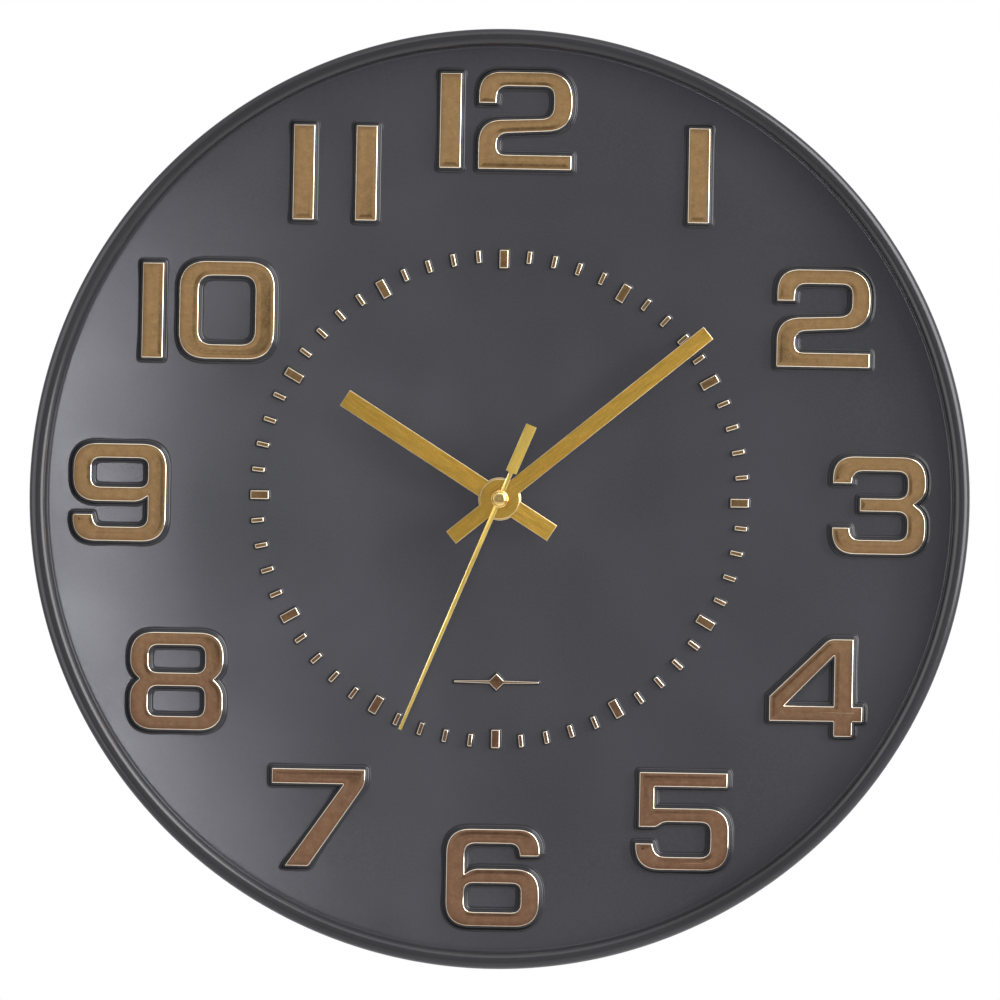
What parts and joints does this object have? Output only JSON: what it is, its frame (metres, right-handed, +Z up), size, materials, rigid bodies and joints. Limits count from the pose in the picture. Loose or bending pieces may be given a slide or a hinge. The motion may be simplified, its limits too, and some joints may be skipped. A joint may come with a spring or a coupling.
{
  "type": "wall clock",
  "caption": "Round quartz wall clock: dished moulded case with raised foiled numerals, three metal hands, rear movement with battery and keyhole hanger.",
  "frame": {"origin": "the point on the wall plane where the nail bears at the top of the keyhole slot, straight above the dial axis", "axes": "+Z up, +X to the right as the dial is read, +Y into the wall; the dial faces -Y"},
  "size_m": [0.3, 0.0414, 0.3],
  "materials": {
    "case_plastic": "fine satin texture, moulded charcoal ABS",
    "bronze_foil": "hot-stamped bronze foil, lightly scuffed",
    "hand_metal": "gold anodised, brushed lengthwise",
    "boss_brass": "polished",
    "nut_brass": "turned, plain",
    "movement_plastic": "fine spark-eroded texture",
    "gear_plastic": "natural acetal",
    "arbor_steel": "bright turned steel",
    "washer_rubber": "plain black",
    "board": "green solder mask",
    "chip_epoxy": "black epoxy drop",
    "crystal_can": "nickel-plated can",
    "coil_copper": "enamelled copper wire, close wound",
    "bobbin_plastic": "natural nylon",
    "stator_iron": "stamped silicon iron",
    "contact_steel": "nickel-plated spring steel",
    "cell_steel": "nickel-plated steel can",
    "cell_sleeve": "plain printed sleeve, no words",
    "knob_plastic": "fluted, matt"
  },
  "bodies": {
    "case_body": {"case_dial": "case_plastic", "case_rim": "case_plastic", "case_ribs": "case_plastic", "hanger": "case_plastic", "foil_12_one": "bronze_foil", "foil_12_two": "bronze_foil", "foil_1": "bronze_foil", "foil_2": "bronze_foil", "foil_3": "bronze_foil", "foil_4": "bronze_foil", "foil_5": "bronze_foil", "foil_6": "bronze_foil", "foil_7": "bronze_foil", "foil_8": "bronze_foil", "foil_9": "bronze_foil", "foil_10_one": "bronze_foil", "foil_10_zero": "bronze_foil", "foil_11_left": "bronze_foil", "foil_11_right": "bronze_foil", "foil_emblem": "bronze_foil", "movement_housing": "movement_plastic", "movement_cover": "movement_plastic", "train_bridge": "gear_plastic", "threaded_bush": "nut_brass", "rubber_washer": "washer_rubber", "flat_washer": "nut_brass", "hex_nut": "nut_brass", "stator": "stator_iron", "coil_core": "stator_iron", "coil_bobbin": "bobbin_plastic", "coil_winding": "coil_copper", "circuit_board": "board", "quartz_crystal": "crystal_can", "chip_blob": "chip_epoxy", "contact_positive": "contact_steel", "contact_negative": "contact_steel", "contact_spring": "contact_steel"},
    "seconds_body": {"seconds_wheel": "arbor_steel", "second_hand": "hand_metal", "second_hand_boss": "boss_brass"},
    "fifth_body": {"fifth_wheel": "gear_plastic"},
    "rotor_body": {"rotor": "arbor_steel"},
    "third_body": {"third_wheel": "gear_plastic"},
    "centre_body": {"centre_wheel": "gear_plastic"},
    "minutes_body": {"minute_cannon": "nut_brass", "minute_hand": "hand_metal"},
    "motion_body": {"motion_wheel": "gear_plastic"},
    "hours_body": {"hour_wheel": "gear_plastic", "hour_hand": "hand_metal"},
    "knob_body": {"setting_knob": "knob_plastic"},
    "battery_body": {"battery_cell": "cell_steel", "battery_sleeve": "cell_sleeve"}
  },
  "joints": [
    {"name": "second_hand_turn", "type": "hinge", "parent": "case_body", "child": "seconds_body", "pos_m": [0, -0.024, -0.134], "axis": [0, 1, 0], "continuous": true},
    {"name": "fifth_wheel_turn", "type": "hinge", "parent": "case_body", "child": "fifth_body", "pos_m": [-0.00432, -0.024, -0.12652], "axis": [0, 1, 0], "continuous": true},
    {"name": "rotor_turn", "type": "hinge", "parent": "case_body", "child": "rotor_body", "pos_m": [-0.00719, -0.024, -0.11862], "axis": [0, 1, 0], "continuous": true},
    {"name": "third_wheel_turn", "type": "hinge", "parent": "case_body", "child": "third_body", "pos_m": [0.00823, -0.024, -0.12925], "axis": [0, 1, 0], "continuous": true},
    {"name": "centre_wheel_turn", "type": "hinge", "parent": "case_body", "child": "centre_body", "pos_m": [0, -0.024, -0.134], "axis": [0, 1, 0], "continuous": true},
    {"name": "minute_hand_turn", "type": "hinge", "parent": "case_body", "child": "minutes_body", "pos_m": [0, -0.024, -0.134], "axis": [0, 1, 0], "continuous": true},
    {"name": "motion_wheel_turn", "type": "hinge", "parent": "case_body", "child": "motion_body", "pos_m": [-0.009, -0.024, -0.134], "axis": [0, 1, 0], "continuous": true},
    {"name": "hour_hand_turn", "type": "hinge", "parent": "case_body", "child": "hours_body", "pos_m": [0, -0.024, -0.134], "axis": [0, 1, 0], "continuous": true},
    {"name": "setting_knob_turn", "type": "hinge", "parent": "case_body", "child": "knob_body", "pos_m": [-0.01746, -0.024, -0.13708], "axis": [0, 1, 0], "continuous": true},
    {"name": "battery_slide", "type": "slide", "parent": "case_body", "child": "battery_body", "axis": [0, 1, 0], "range_m": [0, 0.03]}
  ],
  "couplings": [
    {"joint": "fifth_wheel_turn", "follows": "second_hand_turn", "ratio": -5},
    {"joint": "rotor_turn", "follows": "second_hand_turn", "ratio": 30},
    {"joint": "third_wheel_turn", "follows": "second_hand_turn", "ratio": -0.13333},
    {"joint": "centre_wheel_turn", "follows": "second_hand_turn", "ratio": 0.016667},
    {"joint": "motion_wheel_turn", "follows": "minute_hand_turn", "ratio": -0.33333},
    {"joint": "hour_hand_turn", "follows": "minute_hand_turn", "ratio": 0.083333},
    {"joint": "setting_knob_turn", "follows": "minute_hand_turn", "ratio": 1}
  ]
}
